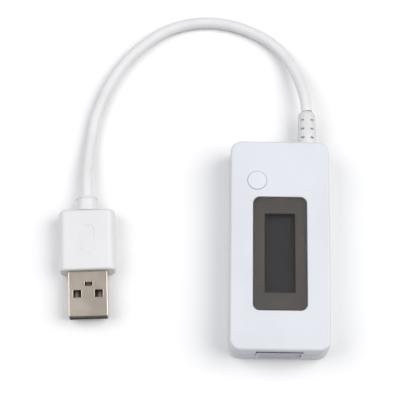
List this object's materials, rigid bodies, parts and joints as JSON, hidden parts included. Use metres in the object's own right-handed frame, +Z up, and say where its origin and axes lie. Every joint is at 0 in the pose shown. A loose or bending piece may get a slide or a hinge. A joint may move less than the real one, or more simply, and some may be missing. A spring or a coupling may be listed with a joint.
{
  "type": "usb power meter",
  "caption": "Slim two-shell USB voltage and current meter with display window, push button, end socket and captive plug lead.",
  "frame": {"origin": "centre of the case's underside, on the surface it lies on", "axes": "+X across the case, +Y along it towards the lead, +Z up out of the display"},
  "size_m": [0.0827, 0.1111, 0.0127],
  "materials": {
    "case_plastic": "fine matte moulded plastic, cool white",
    "button_plastic": "satin moulded plastic, cool white",
    "lens_acrylic": "clear glossy acrylic with a smoky tint",
    "mask_film": "printed taupe grey mask",
    "lcd_glass": "dark unlit liquid-crystal glass",
    "milky_acrylic": "milky light guide",
    "black_plastic": "black moulded plastic",
    "chip_epoxy": "dark moulded epoxy",
    "ceramic": "fired ceramic chip",
    "board_laminate": "green solder mask",
    "lead_jacket": "soft pale grey jacket, matte",
    "grip_plastic": "matte white moulded grip",
    "wire_red": "red insulation",
    "wire_white": "white insulation",
    "wire_green": "green insulation",
    "wire_black": "black insulation",
    "elastomer": "banded elastomer strip",
    "plated_steel": "nickel-plated sheet, faint brushing",
    "gold_plate": "gold-plated contacts"
  },
  "bodies": {
    "meter": {"front_shell": "case_plastic", "rear_shell": "case_plastic", "window_lens": "lens_acrylic", "window_mask": "mask_film", "switch_base": "black_plastic", "switch_cover": "plated_steel", "switch_dome": "plated_steel", "circuit_board": "board_laminate", "microcontroller": "chip_epoxy", "current_amplifier": "chip_epoxy", "voltage_regulator": "chip_epoxy", "shunt_resistor": "black_plastic", "input_capacitor": "ceramic", "output_capacitor": "ceramic", "filter_capacitor": "ceramic", "display_frame": "black_plastic", "backlight_guide": "milky_acrylic", "zebra_connector": "elastomer", "backlight_led": "milky_acrylic", "display_glass": "lcd_glass", "socket_shell": "plated_steel", "socket_tongue": "black_plastic", "socket_contact_1": "gold_plate", "socket_contact_2": "gold_plate", "socket_contact_3": "gold_plate", "socket_contact_4": "gold_plate", "strain_relief": "lead_jacket", "cable": "lead_jacket", "cable_tail": "lead_jacket", "wire_black": "wire_black", "wire_green": "wire_green", "wire_white": "wire_white", "wire_red": "wire_red", "plug_overmould": "grip_plastic", "plug_shell": "plated_steel", "plug_tongue": "black_plastic", "plug_contact_1": "gold_plate", "plug_contact_2": "gold_plate", "plug_contact_3": "gold_plate", "plug_contact_4": "gold_plate"},
    "button": {"button_cap": "button_plastic"},
    "plunger": {"switch_plunger": "black_plastic"}
  },
  "joints": [
    {"name": "button_press", "type": "slide", "parent": "meter", "child": "button", "axis": [0, 0, -1], "range_m": [0, 0.00035], "stiffness_N_per_m": 3000},
    {"name": "plunger_press", "type": "slide", "parent": "meter", "child": "plunger", "axis": [0, 0, -1], "range_m": [0, 0.00035], "deforming": ["switch_dome"]}
  ],
  "couplings": [
    {"joint": "plunger_press", "follows": "button_press", "ratio": 1}
  ]
}
